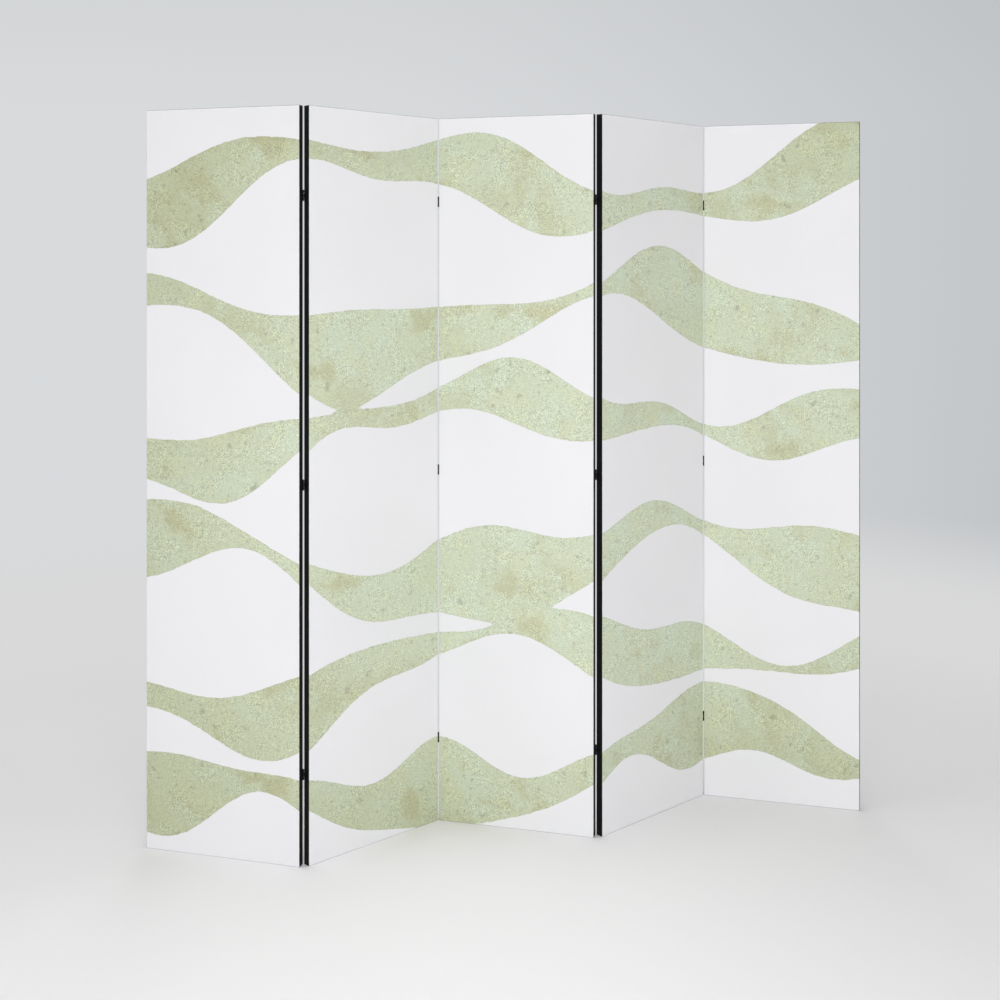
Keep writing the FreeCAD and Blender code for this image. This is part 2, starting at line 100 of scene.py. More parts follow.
def makeMesh(name, points, faces, material, mergeWithin=0.0, **attributes):
    # each further name is an attribute with a number or a vector per point, set before doubles are merged
    mesh = bpy.data.meshes.new(name)
    mesh.from_pydata(points.tolist(), [], faces.tolist())
    for title, values in attributes.items():
        kind = "FLOAT" if values.ndim == 1 else "FLOAT_VECTOR"
        held = mesh.attributes.new(title, kind, "POINT")
        held.data.foreach_set("value" if values.ndim == 1 else "vector", values.ravel())
    if mergeWithin:
        work = bmesh.new()
        work.from_mesh(mesh)
        bmesh.ops.remove_doubles(work, verts=work.verts, dist=mergeWithin)
        bmesh.ops.dissolve_degenerate(work, edges=work.edges, dist=mergeWithin)
        work.to_mesh(mesh)
        work.free()
    mesh.polygons.foreach_set("use_smooth", [True] * len(mesh.polygons))
    mesh.materials.append(material)
    piece = bpy.data.objects.new(name, mesh)
    bpy.context.scene.collection.objects.link(piece)
    return piece


def thicken(piece):
    wall = piece.modifiers.new("cloth", "SOLIDIFY")
    wall.thickness = panels["clothThickness"]
    wall.offset = -1  # inwards, so that the outer face stays where it is


def addNode(tree, kind, inputs=None, **settings):
    node = tree.nodes.new("ShaderNode" + kind)
    for name, value in settings.items():
        setattr(node, name, value)
    for key, value in (inputs or {}).items():
        if isinstance(value, bpy.types.NodeSocket):
            tree.links.new(value, node.inputs[key])
        else:
            node.inputs[key].default_value = value
    return node


def calc(tree, operation, *values):
    return addNode(tree, "Math", dict(enumerate(values)), operation=operation).outputs[0]


def vectorCalc(tree, operation, *values, result="Vector"):
    return addNode(tree, "VectorMath", dict(enumerate(values)), operation=operation).outputs[result]


def scaled(tree, vector, amount):
    return addNode(tree, "VectorMath", {0: vector, 3: amount}, operation="SCALE").outputs["Vector"]


def remap(tree, value, low, high, start=0.0, end=1.0):
    # start below low, end above high, and a smooth passage between
    inputs = {"Value": value, "From Min": low, "From Max": high, "To Min": start, "To Max": end}
    return addNode(tree, "MapRange", inputs, interpolation_type="SMOOTHSTEP").outputs["Result"]


def mixColour(tree, share, first, second, how="MIX"):
    inputs = {0: share, 6: first, 7: second}
    return addNode(tree, "Mix", inputs, data_type="RGBA", blend_type=how).outputs[2]


def noise(tree, where, scale, detail=2.0, roughness=0.5, space="3D"):
    inputs = {"Vector": where, "Scale": scale, "Detail": detail, "Roughness": roughness}
    return addNode(tree, "TexNoise", inputs, noise_dimensions=space).outputs["Fac"]


def flatNoise(tree, where, scale, detail, roughness):
    return noise(tree, where, scale, detail, roughness, "2D")


def shade(red, green, blue):
    return (red, green, blue, 1.0)


def newMaterial(name, colour, roughness, gloss=0.5, metallic=0.0):
    material = bpy.data.materials.new(name)
    material.use_nodes = True
    tree = material.node_tree
    surface = tree.nodes["Principled BSDF"]
    surface.inputs["Base Color"].default_value = colour
    surface.inputs["Roughness"].default_value = roughness
    surface.inputs["Specular IOR Level"].default_value = gloss
    surface.inputs["Metallic"].default_value = metallic
    return material, tree, surface


def addBump(tree, surface, height, distance, strength):
    inputs = {"Height": height, "Distance": distance, "Strength": strength}
    tree.links.new(addNode(tree, "Bump", inputs).outputs[0], surface.inputs["Normal"])


def weave(tree, where, pitch):
    # plain weave: the sine across the warp times the sine across the weft, so threads go over and under
    parts = addNode(tree, "SeparateXYZ", {0: where})
    turns = math.pi / pitch
    across = calc(tree, "SINE", calc(tree, "MULTIPLY", parts.outputs[0], turns))
    along = calc(tree, "SINE", calc(tree, "MULTIPLY", parts.outputs[1], turns))
    return calc(tree, "MULTIPLY", across, along)


# The print: broad ribbons that swell and thin as they cross all five panels

printDesign = {
    "white": shade(0.868, 0.864, 0.884),
    "greyWhite": shade(0.852, 0.852, 0.870),
    "black": shade(0.005, 0.005, 0.006),
    "sage": shade(0.640, 0.695, 0.525),
    "olive": shade(0.575, 0.600, 0.410),
    "mist": shade(0.652, 0.728, 0.580),
    "straw": shade(0.668, 0.702, 0.492),
    "rust": shade(0.545, 0.550, 0.345),
    "aged": shade(0.820, 0.810, 0.730),  # what the ink is multiplied by where it has darkened most
    "darkSpeck": shade(0.290, 0.305, 0.195),
    "paleSpeck": shade(0.805, 0.850, 0.670),
    "roughness": 0.65,
    "gloss": 0.2,
    # colours laid over the sage one after another: colour, noise scale, detail, from, to, most
    "patches": [
        ("olive", 4.2, 3.0, 0.46, 0.70, 0.90),
        ("mist", 8.5, 4.0, 0.46, 0.66, 0.85),
        ("straw", 12.5, 3.0, 0.52, 0.72, 0.60),
        ("rust", 7.3, 6.0, 0.58, 0.72, 0.75),
    ],
    # and over the grain: pale grains, dark grains, spots and stains
    "specks": [
        ("paleSpeck", 262.0, 1.0, 0.64, 0.76, 0.48),
        ("darkSpeck", 310.0, 1.0, 0.67, 0.79, 0.66),
        ("darkSpeck", 72.0, 3.0, 0.66, 0.75, 0.42),
        ("darkSpeck", 30.0, 5.0, 0.64, 0.77, 0.50),
    ],
    "patchRoughness": 0.55,
    "grains": [(277.0, 2.0, 0.98), (91.0, 3.0, 0.40)],  # noise scale, detail, depth
    "grainRoughness": 0.6,
    "grainChange": (16.0, 2.0, 0.5, 0.36, 0.64),  # noise scale, detail, roughness, from, to
    "smoothest": 0.50,  # the grain is this share of its depth where the print is smoothest
    "roughest": 1.30,
    "agedMiddle": (1.15, 0.95),  # the ink has darkened least here and most towards the outside
    "agedReach": (1.15, 1.05),
    "agedFrom": 0.50,
    "agedTo": 1.25,
    "mergeOver": 0.035,
    "edgeWander": (45.0, 4.0, 0.65, 0.0050),  # noise scale, detail, roughness, depth
    "edgeGrain": (420.0, 2.0, 0.5, 0.0030),
    "edgeSoftness": 0.0007,
    "rimWidth": 0.0035,
    "rimDark": 0.18,
    "paperPatches": (3.0, 3.0, 0.5, 0.3, 0.7),  # noise scale, detail, roughness, from, to
    "marginFuzz": 0.0006,
    "marginSoftness": 0.0001,
    "weavePitch": 0.00055,
    # how much the weave's low threads are painted darker and its high ones lighter: painted shade
    "weavePaintedShade": 0.03,
    "bump": (0.00008, 0.7),  # distance, strength
}
# Each ribbon: height at the left edge, slope, half its width, then its bends, then its swells.
# A bend or swell is (how much, wavelength, shift as a share of the wavelength), in metres.
ribbons = [
    (0.110, 0.03, 0.063,
     [(0.055, 1.30, 0.10), (0.022, 0.47, 0.55)], [(0.036, 0.83, 0.30), (0.012, 0.36, 0.00)]),
    (0.400, 0.02, 0.049,
     [(0.070, 1.55, 0.62), (0.020, 0.52, 0.20)], [(0.032, 0.97, 0.85), (0.010, 0.41, 0.40)]),
    (0.690, -0.02, 0.066,
     [(0.080, 1.40, 0.22), (0.024, 0.58, 0.80)], [(0.043, 1.12, 0.42), (0.012, 0.44, 0.10)]),
    (0.985, 0.03, 0.046,
     [(0.065, 1.75, 0.75), (0.022, 0.50, 0.35)], [(0.030, 0.88, 0.05), (0.010, 0.39, 0.60)]),
    (1.270, 0.00, 0.065,
     [(0.085, 1.48, 0.35), (0.020, 0.61, 0.05)], [(0.042, 1.05, 0.70), (0.014, 0.48, 0.25)]),
    (1.590, 0.02, 0.055,
     [(0.070, 1.62, 0.90), (0.026, 0.55, 0.65)], [(0.036, 0.92, 0.18), (0.010, 0.43, 0.90)]),
]


def waveSum(tree, at, start, terms):
    # start plus, for each term, amplitude times the sine of (place over wavelength plus shift) turns
    total = start
    for amplitude, wavelength, shift in terms:
        angle = calc(tree, "MULTIPLY_ADD", at, 2 * math.pi / wavelength, 2 * math.pi * shift)
        total = calc(tree, "MULTIPLY_ADD", calc(tree, "SINE", angle), amplitude, total)
    return total


def ribbonDepth(tree, where):
    # how far a point lies inside the nearest ribbon: half its width, less the distance to its middle; where
    # two ribbons come near each other, the larger of the two is rounded, so that they grow together
    parts = addNode(tree, "SeparateXYZ", {0: where})
    across, up = parts.outputs[0], parts.outputs[1]
    deepest = None
    for height, slope, halfWidth, bends, swells in ribbons:
        rise = calc(tree, "MULTIPLY_ADD", across, slope, height)
        middle = waveSum(tree, across, rise, bends)
        half = waveSum(tree, across, halfWidth, swells)
        away = calc(tree, "ABSOLUTE", calc(tree, "SUBTRACT", up, middle))
        depth = calc(tree, "SUBTRACT", half, away)
        if deepest is not None:
            depth = calc(tree, "SMOOTH_MAX", deepest, depth, printDesign["mergeOver"])
        deepest = depth
    return deepest


def printedCanvas():
    d = printDesign
    material, tree, surface = newMaterial("printedCanvas", d["white"], d["roughness"], d["gloss"])
    where = addNode(tree, "Attribute", attribute_name="cloth").outputs["Vector"]
    reach = addNode(tree, "Attribute", attribute_name="reach").outputs["Fac"]

    def layered(ink, layers):
        for colour, scale, detail, low, high, most in layers:
            pattern = flatNoise(tree, where, scale, detail, d["patchRoughness"])
            ink = mixColour(tree, remap(tree, pattern, low, high, 0.0, most), ink, d[colour])
        return ink

    def centred(scale, detail, roughness):
        # noise about 0
        return calc(tree, "SUBTRACT", flatNoise(tree, where, scale, detail, roughness), 0.5)

    # sage ink: soft patches, then grain, then stains and specks
    ink = layered(d["sage"], d["patches"])
    *pattern, low, high = d["grainChange"]
    uneven = remap(tree, flatNoise(tree, where, *pattern), low, high, d["smoothest"], d["roughest"])
    grain = 0.0
    for scale, detail, deep in d["grains"]:
        grain = calc(tree, "MULTIPLY_ADD", centred(scale, detail, d["grainRoughness"]), deep, grain)
    ink = scaled(tree, ink, calc(tree, "MULTIPLY_ADD", grain, uneven, 1.0))
    ink = layered(ink, d["specks"])

    # the ink has darkened with age, more so away from the middle of the picture
    (middleX, middleZ), (reachX, reachZ) = d["agedMiddle"], d["agedReach"]
    fromMiddle = vectorCalc(tree, "SUBTRACT", where, (middleX, middleZ, 0.0))
    shrunk = vectorCalc(tree, "MULTIPLY", fromMiddle, (1 / reachX, 1 / reachZ, 0.0))
    away = vectorCalc(tree, "LENGTH", shrunk, result="Value")
    aged = remap(tree, away, d["agedFrom"], d["agedTo"])
    ink = mixColour(tree, aged, ink, mixColour(tree, 1.0, ink, d["aged"], "MULTIPLY"))

    # the ribbons' edges wander a little and are ragged close up, with a darker rim inside
    *pattern, deep = d["edgeWander"]
    depth = calc(tree, "MULTIPLY_ADD", centred(*pattern), deep, ribbonDepth(tree, where))
    *pattern, deep = d["edgeGrain"]
    ragged = centred(*pattern)
    depth = calc(tree, "MULTIPLY_ADD", ragged, deep, depth)
    inked = remap(tree, depth, -d["edgeSoftness"], d["edgeSoftness"])
    rim = remap(tree, depth, 0.0, d["rimWidth"], d["rimDark"], 0.0)
    ink = mixColour(tree, rim, ink, d["darkSpeck"])

    # white paper under the ink, black margins round the edges of the panel, and the weave over all, its
    # hollows painted darker as painted shade beside its bump
    *pattern, low, high = d["paperPatches"]
    worn = remap(tree, flatNoise(tree, where, *pattern), low, high)
    paper = mixColour(tree, worn, d["white"], d["greyWhite"])
    colour = mixColour(tree, inked, paper, ink)
    fuzz = calc(tree, "MULTIPLY_ADD", ragged, d["marginFuzz"], reach)
    margin = remap(tree, fuzz, -d["marginSoftness"], d["marginSoftness"], 1.0, 0.0)
    colour = mixColour(tree, margin, colour, d["black"])
    threads = weave(tree, where, d["weavePitch"])
    # painted shade of the weave: the colour follows the threads' height
    colour = scaled(tree, colour, calc(tree, "MULTIPLY_ADD", threads, d["weavePaintedShade"], 1.0))
    tree.links.new(colour, surface.inputs["Base Color"])
    addBump(tree, surface, threads, *d["bump"])
    return material


plainCloth = {
    "colour": shade(0.760, 0.728, 0.650),
    "thin": shade(0.700, 0.668, 0.588),
    "thick": shade(0.815, 0.785, 0.710),
    "fleck": shade(0.420, 0.350, 0.240),
    "roughness": 0.85,
    "gloss": 0.2,
    "weavePitch": 0.0008,
    "slubWide": 1150.0,  # noise scales across and along a thread
    "slubLong": 42.0,
    "slubs": (3.0, 0.6, 0.72, 1.28),  # detail, roughness, from, to
    "slubHeight": 0.6,  # beside the weave's 1
    "clouds": (4.0, 4.0, 0.6, 0.35, 0.70, 0.45),  # noise scale, detail, roughness, from, to, most
    "flecks": (330.0, 1.0, 0.5, 0.76, 0.80, 0.6),
    "bump": (0.0001, 0.6),  # distance, strength
}


def plainCanvas():
    d = plainCloth
    material, tree, surface = newMaterial("plainCanvas", d["colour"], d["roughness"], d["gloss"])
    where = addNode(tree, "Attribute", attribute_name="cloth").outputs["Vector"]

    def speckled(name):
        *pattern, low, high, most = d[name]
        return remap(tree, flatNoise(tree, where, *pattern), low, high, 0.0, most)

    detail, roughness, low, high = d["slubs"]
    threads = []
    for wide, tall in ((d["slubWide"], d["slubLong"]), (d["slubLong"], d["slubWide"])):
        drawn = addNode(tree, "Mapping", {"Vector": where, "Scale": (wide, tall, 1.0)}).outputs[0]
        threads.append(flatNoise(tree, drawn, 1.0, detail, roughness))
    slubs = calc(tree, "ADD", *threads)
    tone = mixColour(tree, remap(tree, slubs, low, high), d["thin"], d["thick"])
    tone = mixColour(tree, speckled("clouds"), tone, d["thin"])
    tone = mixColour(tree, speckled("flecks"), tone, d["fleck"])
    tree.links.new(tone, surface.inputs["Base Color"])
    height = calc(tree, "MULTIPLY_ADD", slubs, d["slubHeight"], weave(tree, where, d["weavePitch"]))
    addBump(tree, surface, height, *d["bump"])
    return material


pineWood = {
    "colour": shade(0.62, 0.43, 0.23),
    "early": shade(0.70, 0.52, 0.30),  # between the rings
    "late": shade(0.50, 0.31, 0.14),
    "fibre": shade(0.76, 0.60, 0.38),
    "roughness": 0.55,
    "gloss": 0.3,
    "across": 70.0,  # noise scales across and along a batten
    "along": 3.0,
    "ringTurns": 4.0,
    "bendScale": 6.0,
    "bend": 26.0,  # how far the rings wander
    "ringFrom": -0.2,
    "ringTo": 1.0,
    "fibres": (6.0, 4.0, 0.7),  # noise scale, detail, roughness
    "fibreShare": (0.4, 0.7, 0.0, 0.5),  # from, to, least, most
    "bump": (0.0002, 0.4),  # distance, strength
}


def pine(name, turn, upright):
    # growth rings are waves across the batten, drawn out along its length; turn is the panel's heading
    d = pineWood
    material, tree, surface = newMaterial(name, d["colour"], d["roughness"], d["gloss"])
    place = addNode(tree, "TexCoord").outputs["Object"]
    straight = addNode(tree, "Mapping", {"Vector": place, "Rotation": (0.0, 0.0, -turn)}).outputs[0]
    wide, long = d["across"], d["along"]
    drawn = (wide, wide, long) if upright else (long, wide, wide)
    grainPlace = addNode(tree, "Mapping", {"Vector": straight, "Scale": drawn}).outputs[0]
    parts = addNode(tree, "SeparateXYZ", {0: grainPlace})
    ringPlace = calc(tree, "ADD", parts.outputs[0 if upright else 2], parts.outputs[1])
    turned = calc(tree, "MULTIPLY", ringPlace, d["ringTurns"])
    bend = noise(tree, straight, d["bendScale"])
    rings = calc(tree, "SINE", calc(tree, "MULTIPLY_ADD", bend, d["bend"], turned))
    fibres = noise(tree, grainPlace, *d["fibres"])
    colour = mixColour(tree, remap(tree, rings, d["ringFrom"], d["ringTo"]), d["early"], d["late"])
    colour = mixColour(tree, remap(tree, fibres, *d["fibreShare"]), colour, d["fibre"])
    tree.links.new(colour, surface.inputs["Base Color"])
    addBump(tree, surface, fibres, *d["bump"])
    return material


blackPaint = {
    "roughness": 0.40,
    "gloss": 0.22,
    "rubbed": (900.0, 4.0, 0.7, 0.68, 0.76),  # noise scale, detail, roughness, from, to
    "sheenScale": 300.0,
    "sheen": (0.3, 0.7, 0.34, 0.48),  # from, to, least and most roughness
    "peelScale": 2500.0,
    "peelDetail": 1.0,
    "bump": (0.00004, 0.5),  # distance, strength
}


def paintedMetal(name, colour, bare):
    # satin paint with a faint orange peel, rubbed thin in places
    d = blackPaint
    material, tree, surface = newMaterial(name, colour, d["roughness"], d["gloss"])
    place = addNode(tree, "TexCoord").outputs["Object"]
    *pattern, low, high = d["rubbed"]
    rubbed = remap(tree, noise(tree, place, *pattern), low, high)
    sheen = remap(tree, noise(tree, place, d["sheenScale"]), *d["sheen"])
    tree.links.new(mixColour(tree, rubbed, colour, bare), surface.inputs["Base Color"])
    tree.links.new(sheen, surface.inputs["Roughness"])
    addBump(tree, surface, noise(tree, place, d["peelScale"], d["peelDetail"]), *d["bump"])
    return material


drawnWire = {
    "cloudScale": 600.0,
    "cloudDetail": 3.0,
    "tarnishFrom": 0.35,
    "tarnishTo": 0.65,
    "tarnished": 0.7,  # share of the colour that is left
    "roughnessFrom": 0.3,
    "roughnessTo": 0.7,
    "smoother": 0.08,
    "rougher": 0.1,
}


def wireMetal(name, colour, roughness):
    # drawn wire: bright, with a cloudy tarnish
    d = drawnWire
    material, tree, surface = newMaterial(name, colour, roughness, metallic=1.0)
    place = addNode(tree, "TexCoord").outputs["Object"]
    cloud = noise(tree, place, d["cloudScale"], d["cloudDetail"])
    dull = shade(*(part * d["tarnished"] for part in colour[:3]))
    tarnish = remap(tree, cloud, d["tarnishFrom"], d["tarnishTo"])
    tree.links.new(mixColour(tree, tarnish, colour, dull), surface.inputs["Base Color"])
    low, high = roughness - d["smoother"], roughness + d["rougher"]
    sheen = remap(tree, cloud, d["roughnessFrom"], d["roughnessTo"], low, high)
    tree.links.new(sheen, surface.inputs["Roughness"])
    return material


# Front canvas: flat over the frame, round its edges and turned in at the back

frontCanvas = {
    "frontRadius": 0.0010,  # over the eased edges of the battens
    "backRadius": 0.0005,  # where the cloth is pulled tight round the back
    "cornerRadius": 0.0012,  # where two sides of the panel meet
    "turnIn": 0.020,
    "pitch": 0.008,  # between grid points on the face
    "cornerPitch": 0.0012,  # and near the corners, where the cloth is folded
    "cornerSpan": 0.022,
    "faceEdge": 0.0016,  # the face's grid ends and the wrap begins this far in
    "roundSteps": 7,  # points on a quarter circle, down the side, and across the turned-in edge
    "sideSteps": 10,
    "turnInSteps": 9,
    "cornerSteps": 6,
    "hollow": 0.00035,  # how far the stretched face draws in between the battens
    "hollowRun": 0.12,  # from a batten's inner edge to the full hollow
    "tuck": 0.0002,  # step of the folded cloth at a corner
    "tuckRun": 0.003,  # the step grows over this much of the depth at the front and at the back
    "tuckWidth": 0.0012,  # of the step along the diagonal
    "mitreWidth": 0.0015,  # half the width of the raised fold along the mitre at the back
    "frontEdges": 0.0009,  # the black starts this far in along an edge that stands forward
    "backEdges": 0.0002,
    "endEdges": 0.0006,  # along the top and the bottom
    "mergeWithin": 1e-6,
}


def gradedShares(length, inset, d):
    # shares of one side, fine near both of its ends and even between them
    span, fineSpan = length - 2 * inset, d["cornerSpan"]
    fine = np.arange(0, fineSpan, d["cornerPitch"])
    steps = round((span - 2 * fineSpan) / d["pitch"])
    middle = np.linspace(fineSpan, span - fineSpan, steps + 1)
    return np.concatenate([fine, middle, span - fine[::-1]]) / span


def wrapProfile(d, depth):
    # rows of the wrap as (inset from the outline, depth, length along the cloth): quarter circles joined by
    # straights, where a quarter circle's inset is radius (1 - sine) and its depth radius (1 - cosine)
    front, rear = d["frontRadius"], d["backRadius"]
    turns = np.linspace(0, math.pi / 2, d["roundSteps"])
    side = np.linspace(front, depth - rear, d["sideSteps"])[1:-1]
    inwards = np.linspace(rear, d["turnIn"], d["turnInSteps"])[1:]
    frontRound, rearRound = front * (1 - np.sin(turns)), rear * (1 - np.cos(turns))
    inset = np.concatenate([[d["faceEdge"]], frontRound, 0 * side, rearRound, inwards])
    frontRound, rearRound = front * (1 - np.cos(turns)), depth - rear * (1 - np.sin(turns))
    back = np.concatenate([[0], frontRound, side, rearRound, 0 * inwards + depth])
    run = np.concatenate([[0], np.cumsum(np.hypot(np.diff(inset), np.diff(back)))])
    return inset, back, run


def outlinePoint(inset, radius, size, shares, outward):
    # a rectangle drawn in by inset, with round corners while inset is under radius:
    # hold + (size - 2 hold) share + (hold - inset) outward, where hold is the larger of radius and inset
    hold = np.maximum(radius, inset)
    return hold + (size - 2 * hold) * shares + (hold - inset) * outward


def aroundPanel(d, inset):
    # columns round the panel, side by side and corner by corner: shares of the width and the height, and the
    # outward direction, which turns by the cosine and sine through a quarter circle at each corner
    across = gradedShares(panels["width"], inset, d)
    up = gradedShares(panels["height"], inset, d)
    turns = np.linspace(0, math.pi / 2, d["cornerSteps"])[1:-1]
    columns = []
    sides = [(across, 0, 0, -1), (up, 1, 1, 0), (across[::-1], 1, 0, 1), (up[::-1], 0, -1, 0)]
    for i, (shares, fixed, outX, outZ) in enumerate(sides):
        ones = np.ones_like(shares)
        along = [shares, fixed * ones] if i % 2 == 0 else [fixed * ones, shares]
        columns.append(np.stack([*along, outX * ones, outZ * ones], axis=1))
        angles = (i - 1) * math.pi / 2 + turns
        endX, endZ = columns[-1][-1, :2]
        ones = np.ones_like(turns)
        columns.append(np.stack([endX * ones, endZ * ones, np.cos(angles), np.sin(angles)], axis=1))
    return across, up, np.concatenate(columns)


def printReach(number, cloth, d):
    # how far a point of the flat cloth is inside the line where the print gives way to black: the least of
    # its distances from the four edges, each less its margin
    odd = number % 2
    left, right = (d["backEdges"], d["frontEdges"]) if odd else (d["frontEdges"], d["backEdges"])
    x, z = cloth[:, 0], cloth[:, 1]
    sides = np.minimum(x - left, panels["width"] - x - right)
    return np.minimum(sides, np.minimum(z, panels["height"] - z) - d["endEdges"])


def makeFrontCanvas(number, material):
    d = frontCanvas
    width, height, depth = panels["width"], panels["height"], panels["depth"]
    inset, back, run = wrapProfile(d, depth)
    across, up, columns = aroundPanel(d, inset[0])
    shareX, shareZ, outX, outZ = columns.T
    insetGrid, backGrid = inset[:, None], back[:, None]

    # tucks: on the top and bottom edges the cloth is doubled between the corner and a diagonal, and on the
    # back a fold stands up along the mitre, as high as a bell curve over the distance from it
    fromCorner = np.minimum(shareX, 1 - shareX) * width
    isEnd = (np.abs(outZ) > 0.5) & (np.abs(outX) < 0.5)
    onSide = insetGrid < d["mergeWithin"]
    grown = smooth(backGrid / d["tuckRun"]) * smooth((depth - backGrid) / d["tuckRun"]) * onSide
    doubled = smooth((backGrid - fromCorner) / d["tuckWidth"] + 0.5)
    step = d["tuck"] * grown * (1 - doubled) * isEnd
    mitre = np.abs(fromCorner - insetGrid)
    fold = d["tuck"] * np.exp(-((mitre / d["mitreWidth"]) ** 2)) * (backGrid >= depth) * isEnd

    x = outlinePoint(insetGrid + step, d["cornerRadius"], width, shareX, outX)
    z = outlinePoint(insetGrid + step, d["cornerRadius"], height, shareZ, outZ)
    flat = inset[0] - run[:, None]
    clothX = outlinePoint(flat, d["cornerRadius"], width, shareX, outX)
    clothZ = outlinePoint(flat, d["cornerRadius"], height, shareZ, outZ)
    ring = np.stack([x, backGrid + fold, z], axis=-1).reshape(-1, 3)
    ringCloth = np.stack([clothX, clothZ, 0 * clothX], axis=-1).reshape(-1, 3)

    # the face draws in between the battens: hollow times a smooth rise from each batten's inner edge
    gx, gz = np.meshgrid(inset[0] + (width - 2 * inset[0]) * across, inset[0] + (height - 2 * inset[0]) * up)
    fromStiles = np.minimum(gx, width - gx) - panels["battenWidth"]
    fromRails = np.minimum(gz, height - gz) - panels["battenWidth"]
    rise = smooth(fromStiles / d["hollowRun"]) * smooth(fromRails / d["hollowRun"])
    face = np.stack([gx, d["hollow"] * rise, gz], axis=-1).reshape(-1, 3)
    faceCloth = np.stack([gx, gz, 0 * gx], axis=-1).reshape(-1, 3)

    points = panelToRow(number, np.concatenate([face, ring]))
    cloth = np.concatenate([faceCloth, ringCloth])
    reach = printReach(number, cloth, d)
    cloth[:, 0] += (number - 1) * width  # one print runs over all the panels
    ringFaces = gridFaces(len(inset), len(columns), closed=True)[:, ::-1] + len(face)
    faces = np.concatenate([gridFaces(len(up), len(across)), ringFaces])
    name = f"panel_{number}_printed_canvas"
    piece = makeMesh(name, points, faces, material, d["mergeWithin"], cloth=cloth, reach=reach)
    thicken(piece)
    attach(piece, f"panel_{number}")
    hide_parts(f"panel_{number}_front_canvas")


# Back canvas: unprinted cloth under the turned-in edge, a little slack between the battens

backCanvas = {
    "margin": 0.004,
    "outerFace": 0.0178,
    "pitch": 0.007,
    "sag": 0.0011,
    "slackRun": 0.045,  # from a batten's edge to where the cloth is slack
    "railHalf": 0.017,
    "ripple": 0.00035,
    "phase": 1.7,  # between one panel's ripples and the next one's
    "upright": (46.0, 5.0, 2.1, 3.3),  # waves across, how far they drift, waves of drift and of fading up
    "slanting": (0.6, 23.0, -9.0),  # share, waves across, waves up
}


def makeBackCanvas(number, material):
    d = backCanvas
    width, height = panels["width"], panels["height"]
    flat = (width - 2 * d["margin"], height - 2 * d["margin"])
    xs = np.linspace(d["margin"], width - d["margin"], round(flat[0] / d["pitch"]) + 1)
    zs = np.linspace(d["margin"], height - d["margin"], round(flat[1] / d["pitch"]) + 1)
    gx, gz = np.meshgrid(xs, zs)
    fromSides = np.minimum(gx, width - gx) - panels["battenWidth"]
    fromEnds = np.minimum(gz, height - gz) - panels["battenWidth"]
    fromRail = np.abs(gz - height / 2) - d["railHalf"]
    # slackness is 0 on the battens and the middle rail and 1 well inside the two windows
    slack = smooth(fromSides / d["slackRun"]) * smooth(np.minimum(fromEnds, fromRail) / d["slackRun"])
    # ripples: upright sines that drift and fade with height, plus slanting ones, another set on each panel
    phase = d["phase"] * number
    wavesAcross, drift, driftUp, fadeUp = d["upright"]
    wave = np.sin(wavesAcross * gx + drift * np.sin(driftUp * gz + phase) + phase)
    wave = wave * np.sin(fadeUp * gz + 2 * phase)
    share, slantAcross, slantUp = d["slanting"]
    wave += share * np.sin(slantAcross * gx + slantUp * gz + 3 * phase)
    inwards = slack * (d["sag"] + d["ripple"] * wave)
    points = np.stack([gx, d["outerFace"] - inwards, gz], axis=-1).reshape(-1, 3)
    cloth = np.stack([gx + (number - 1) * width, gz, 0 * gx], axis=-1).reshape(-1, 3)
    faces = gridFaces(len(zs), len(xs))[:, ::-1]
    name = f"panel_{number}_plain_canvas"
    piece = makeMesh(name, panelToRow(number, points), faces, material, cloth=cloth)
    thicken(piece)
    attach(piece, f"panel_{number}")
    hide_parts(f"panel_{number}_back_canvas")


printMaterial = printedCanvas()
plainMaterial = plainCanvas()
for number in range(1, panels["count"] + 1):
    makeFrontCanvas(number, printMaterial)
    makeBackCanvas(number, plainMaterial)
print("canvases made:", 2 * panels["count"])

# Finishes of the pieces that come from the frame

finishes = {
    "leaves": paintedMetal("blackHinge", shade(0.007, 0.007, 0.008), shade(0.055, 0.055, 0.058)),
    "screws": paintedMetal("blackScrew", shade(0.012, 0.012, 0.013), shade(0.11, 0.11, 0.115)),
    "pins": wireMetal("pinSteel", shade(0.32, 0.32, 0.33), 0.34),
    "staples": wireMetal("stapleWire", shade(0.70, 0.71, 0.72), 0.28),
    "stile": pine("pineUpright", 0.0, True),
}
railFinishes = {
    "odd": pine("pineRailOdd", -panels["halfTurn"], False),
    "even": pine("pineRailEven", panels["halfTurn"], False),
}
for name, node in nodes.items():
    last = name.split("_")[-1]
    if last == "rail":
        finish = railFinishes["odd" if int(name.split("_")[1]) % 2 else "even"]
    else:
        finish = finishes.get(last, plainMaterial)  # the rest are canvases, which the new cloth stands for
    node.data.materials.clear()
    node.data.materials.append(finish)
print("finishes given to the frame's pieces")

# Floor, background, lamps and camera

